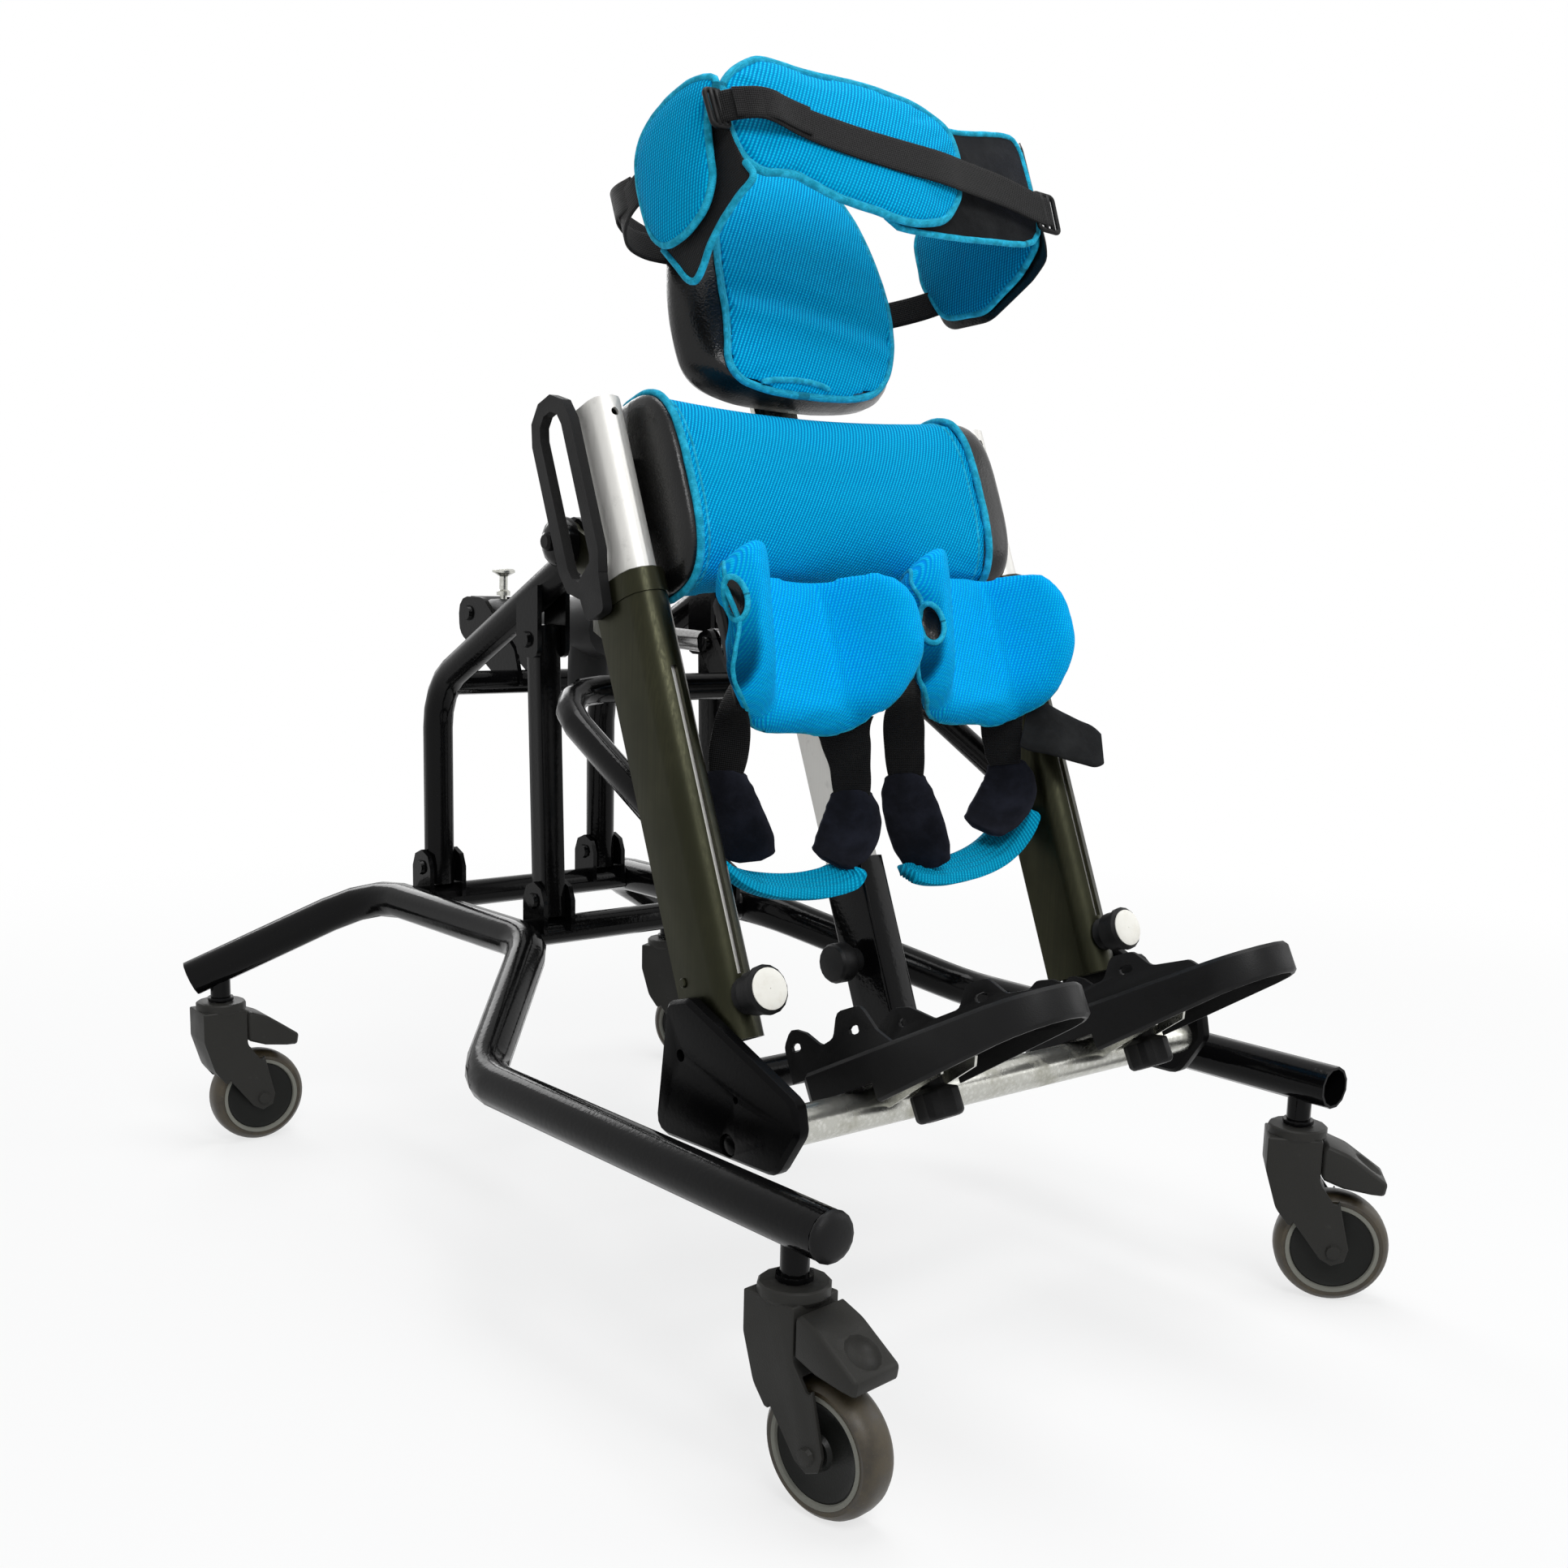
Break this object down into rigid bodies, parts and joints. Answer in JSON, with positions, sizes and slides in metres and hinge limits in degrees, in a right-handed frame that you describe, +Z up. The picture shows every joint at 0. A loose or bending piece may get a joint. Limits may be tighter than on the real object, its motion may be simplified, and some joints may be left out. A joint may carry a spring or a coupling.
{
  "type": "pediatric standing frame",
  "caption": "Child's wheeled standing frame: bent tube base on braked castors, tilting telescopic posts with pelvic and chest pads, harness, knee cups and foot trays.",
  "frame": {"origin": "centre of the bounding box at floor level", "axes": "+Z up; the child's feet and the harness are toward -Y, the rear support frame and actuator toward +Y; +X is right when looking along +Y"},
  "size_m": [0.6952, 1.0762, 1.0338],
  "materials": {
    "black_enamel": "gloss enamel",
    "black_plastic": "moulded",
    "black_post": "satin anodised look",
    "black_vinyl": "vinyl cover",
    "black_webbing": "woven webbing and neoprene",
    "blue_spacer_mesh": "blue spacer mesh with teal piping",
    "chrome_rod": "polished",
    "dark_grey_plastic": "moulded",
    "knob_disc": "cream cap",
    "silver_aluminium": "satin anodised",
    "tyre_brown": "smooth tread, grey ring and dark hub",
    "zinc_plate": "zinc plated"
  },
  "bodies": {
    "base": {"rail_left": "black_enamel", "rail_right": "black_enamel", "rail_end_cap": "black_plastic", "front_cross_tube": "black_enamel", "rear_cross_tube": "black_enamel", "rear_frame": "black_enamel", "prop_left": "black_enamel", "prop_right": "black_enamel"},
    "castor_front_left": {"caster_fork_front_left": "black_plastic"},
    "wheel_front_left": {"caster_wheel_front_left": "tyre_brown"},
    "brake_front_left": {"brake_pedal_front_left": "black_plastic"},
    "castor_front_right": {"caster_fork_front_right": "black_plastic"},
    "wheel_front_right": {"caster_wheel_front_right": "tyre_brown"},
    "brake_front_right": {"brake_pedal_front_right": "black_plastic"},
    "castor_rear_left": {"caster_fork_rear_left": "black_plastic"},
    "wheel_rear_left": {"caster_wheel_rear_left": "tyre_brown"},
    "brake_rear_left": {"brake_pedal_rear_left": "black_plastic"},
    "castor_rear_right": {"caster_fork_rear_right": "black_plastic"},
    "wheel_rear_right": {"caster_wheel_rear_right": "tyre_brown"},
    "brake_rear_right": {"brake_pedal_rear_right": "black_plastic"},
    "main_frame": {"post_outer_left": "black_post", "post_outer_right": "black_post", "side_plate_left": "black_plastic", "side_plate_right": "black_plastic", "strap_loop_left": "black_plastic", "strap_loop_right": "black_plastic", "stay_tube": "black_enamel", "foot_rail": "zinc_plate", "knee_column_outer": "black_enamel"},
    "actuator": {"actuator_body": "dark_grey_plastic"},
    "actuator_rod": {"actuator_rod": "chrome_rod"},
    "release_pin": {"release_pin": "zinc_plate"},
    "upper_frame": {"post_inner_left": "silver_aluminium", "post_inner_right": "silver_aluminium", "pelvic_bar": "black_enamel", "pelvic_board": "black_plastic", "pelvic_cushion": "blue_spacer_mesh"},
    "chest_support": {"chest_post": "zinc_plate", "chest_shell": "black_vinyl", "chest_cushion": "blue_spacer_mesh", "lateral_pad_left": "blue_spacer_mesh", "lateral_pad_right": "blue_spacer_mesh", "rear_strap_left": "black_webbing", "rear_strap_right": "black_webbing", "belt_pad": "blue_spacer_mesh", "belt_webbing": "black_webbing"},
    "knee_column": {"knee_column_inner": "silver_aluminium"},
    "column_knob": {"column_knob": "black_plastic"},
    "post_knob_left": {"post_knob_left": "knob_disc"},
    "knee_cup_left": {"knee_cup_left": "blue_spacer_mesh", "calf_strap_left": "black_webbing"},
    "foot_slider_left": {"foot_slider_left": "zinc_plate"},
    "foot_knob_left": {"foot_knob_left": "black_plastic"},
    "sandal_left": {"sandal_left": "black_plastic"},
    "post_knob_right": {"post_knob_right": "knob_disc"},
    "knee_cup_right": {"knee_cup_right": "blue_spacer_mesh", "calf_strap_right": "black_webbing"},
    "foot_slider_right": {"foot_slider_right": "zinc_plate"},
    "foot_knob_right": {"foot_knob_right": "black_plastic"},
    "sandal_right": {"sandal_right": "black_plastic"}
  },
  "joints": [
    {"name": "castor_swivel_front_left", "type": "hinge", "parent": "base", "child": "castor_front_left", "pos_m": [-0.30576, -0.44886, 0], "axis": [0, 0, 1], "continuous": true},
    {"name": "wheel_spin_front_left", "type": "hinge", "parent": "castor_front_left", "child": "wheel_front_left", "pos_m": [-0.30169, -0.48463, 0.05], "axis": [0.9936, 0.1132, 0], "continuous": true},
    {"name": "brake_press_front_left", "type": "hinge", "parent": "castor_front_left", "child": "brake_front_left", "pos_m": [-0.30299, -0.4732, 0.119], "axis": [0.9936, 0.1132, 0], "range_deg": [0, 12]},
    {"name": "castor_swivel_front_right", "type": "hinge", "parent": "base", "child": "castor_front_right", "pos_m": [0.28224, -0.44886, 0], "axis": [0, 0, 1], "continuous": true},
    {"name": "wheel_spin_front_right", "type": "hinge", "parent": "castor_front_right", "child": "wheel_front_right", "pos_m": [0.30504, -0.47672, 0.05], "axis": [0.7738, 0.6334, 0], "continuous": true},
    {"name": "brake_press_front_right", "type": "hinge", "parent": "castor_front_right", "child": "brake_front_right", "pos_m": [0.29775, -0.46782, 0.119], "axis": [0.7738, 0.6334, 0], "range_deg": [0, 12]},
    {"name": "castor_swivel_rear_left", "type": "hinge", "parent": "base", "child": "castor_rear_left", "pos_m": [-0.31039, 0.50433, 0], "axis": [0, 0, 1], "continuous": true},
    {"name": "wheel_spin_rear_left", "type": "hinge", "parent": "castor_rear_left", "child": "wheel_rear_left", "pos_m": [-0.27445, 0.50226, 0.05], "axis": [0.0576, 0.9983, 0], "continuous": true},
    {"name": "brake_press_rear_left", "type": "hinge", "parent": "castor_rear_left", "child": "brake_rear_left", "pos_m": [-0.28593, 0.50292, 0.119], "axis": [0.0576, 0.9983, 0], "range_deg": [0, 12]},
    {"name": "castor_swivel_rear_right", "type": "hinge", "parent": "base", "child": "castor_rear_right", "pos_m": [0.28687, 0.50433, 0], "axis": [0, 0, 1], "continuous": true},
    {"name": "wheel_spin_rear_right", "type": "hinge", "parent": "castor_rear_right", "child": "wheel_rear_right", "pos_m": [0.30377, 0.47255, 0.05], "axis": [0.8829, 0.4695, 0], "continuous": true},
    {"name": "brake_press_rear_right", "type": "hinge", "parent": "castor_rear_right", "child": "brake_rear_right", "pos_m": [0.29837, 0.4827, 0.119], "axis": [0.8829, 0.4695, 0], "range_deg": [0, 12]},
    {"name": "frame_tilt", "type": "hinge", "parent": "base", "child": "main_frame", "pos_m": [-0.01176, 0.08214, 0.652], "axis": [1, 0, 0], "range_deg": [-10, 12]},
    {"name": "actuator_pivot", "type": "hinge", "parent": "base", "child": "actuator", "pos_m": [-0.01176, 0.44714, 0.575], "axis": [1, 0, 0], "range_deg": [-3, 3]},
    {"name": "actuator_stroke", "type": "slide", "parent": "actuator", "child": "actuator_rod", "axis": [0, -0.9995, -0.0309], "range_m": [-0.03, 0.03]},
    {"name": "release_pull", "type": "slide", "parent": "actuator", "child": "release_pin", "axis": [0, -0.0309, 0.9995], "range_m": [0, 0.012], "stiffness_N_per_m": 400},
    {"name": "post_height", "type": "slide", "parent": "main_frame", "child": "upper_frame", "axis": [0, 0.3714, 0.9285], "range_m": [0, 0.12]},
    {"name": "chest_height", "type": "slide", "parent": "upper_frame", "child": "chest_support", "axis": [0, 0.3714, 0.9285], "range_m": [0, 0.1]},
    {"name": "knee_height", "type": "slide", "parent": "main_frame", "child": "knee_column", "axis": [0, 0.3714, 0.9285], "range_m": [-0.08, 0]},
    {"name": "column_knob_turn", "type": "hinge", "parent": "main_frame", "child": "column_knob", "pos_m": [-0.02676, -0.19677, 0.29936], "axis": [1, 0, 0], "continuous": true},
    {"name": "post_knob_turn_left", "type": "hinge", "parent": "main_frame", "child": "post_knob_left", "pos_m": [-0.22076, -0.28534, 0.31217], "axis": [0, 0.9285, -0.3714], "continuous": true},
    {"name": "knee_cup_turn_left", "type": "hinge", "parent": "knee_column", "child": "knee_cup_left", "pos_m": [-0.11076, -0.09242, 0.72182], "axis": [0, 0.3714, 0.9285], "range_deg": [-12, 12]},
    {"name": "foot_slide_left", "type": "slide", "parent": "main_frame", "child": "foot_slider_left", "axis": [0, 0.8926, -0.4509], "range_m": [-0.01, 0.01]},
    {"name": "foot_knob_turn_left", "type": "hinge", "parent": "foot_slider_left", "child": "foot_knob_left", "pos_m": [-0.13576, -0.40581, 0.25285], "axis": [0, 0.4509, 0.8926], "continuous": true},
    {"name": "sandal_turn_left", "type": "hinge", "parent": "foot_slider_left", "child": "sandal_left", "pos_m": [-0.13576, -0.36296, 0.2312], "axis": [0, 0.4509, 0.8926], "range_deg": [-10, 10]},
    {"name": "post_knob_turn_right", "type": "hinge", "parent": "main_frame", "child": "post_knob_right", "pos_m": [0.19724, -0.28534, 0.31217], "axis": [0, 0.9285, -0.3714], "continuous": true},
    {"name": "knee_cup_turn_right", "type": "hinge", "parent": "knee_column", "child": "knee_cup_right", "pos_m": [0.08724, -0.09242, 0.72182], "axis": [0, 0.3714, 0.9285], "range_deg": [-12, 12]},
    {"name": "foot_slide_right", "type": "slide", "parent": "main_frame", "child": "foot_slider_right", "axis": [0, 0.8926, -0.4509], "range_m": [-0.01, 0.01]},
    {"name": "foot_knob_turn_right", "type": "hinge", "parent": "foot_slider_right", "child": "foot_knob_right", "pos_m": [0.11224, -0.40581, 0.25285], "axis": [0, 0.4509, 0.8926], "continuous": true},
    {"name": "sandal_turn_right", "type": "hinge", "parent": "foot_slider_right", "child": "sandal_right", "pos_m": [0.11224, -0.36296, 0.2312], "axis": [0, 0.4509, 0.8926], "range_deg": [-10, 10]}
  ],
  "couplings": [
    {"joint": "actuator_pivot", "follows": "frame_tilt", "ratio": 0.13843},
    {"joint": "actuator_stroke", "follows": "frame_tilt", "m_per_rad": -0.08815}
  ]
}
